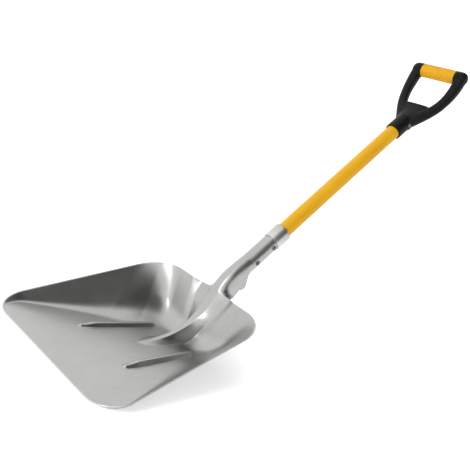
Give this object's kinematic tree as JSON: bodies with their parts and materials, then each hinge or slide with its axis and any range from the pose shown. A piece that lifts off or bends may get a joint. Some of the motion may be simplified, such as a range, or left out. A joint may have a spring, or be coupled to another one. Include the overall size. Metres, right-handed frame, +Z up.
{
  "type": "grain scoop shovel",
  "caption": "Grain scoop shovel: wide pressed aluminium pan with flared walls, frog and stiffening ribs, riveted socket and collar, straight shaft and cranked D grip with a soft sleeve.",
  "frame": {"origin": "middle of the blade's flat underside, on the plane of symmetry", "axes": "+Z up from the surface the blade rests on, +Y from the open front edge towards the handle, +X to the right when looking along +Y"},
  "size_m": [0.3816, 0.8627, 0.6627],
  "materials": {
    "aluminium_sheet": "satin, pressed sheet",
    "collar_metal": "satin",
    "fibreglass": "smooth, golden yellow",
    "plug_timber": "plain",
    "rivet_steel": "zinc plated",
    "grip_plastic": "fine moulded grain",
    "sleeve_rubber": "soft, golden yellow"
  },
  "bodies": {
    "root": {"blade": "aluminium_sheet", "collar": "collar_metal", "shaft": "fibreglass", "lower_plug": "plug_timber", "upper_plug": "plug_timber", "socket_rivet_upper": "rivet_steel", "socket_rivet_lower": "rivet_steel", "d_grip": "grip_plastic", "grip_sleeve": "sleeve_rubber", "grip_rivet": "rivet_steel", "grip_rivet_washer": "rivet_steel"}
  },
  "joints": []
}
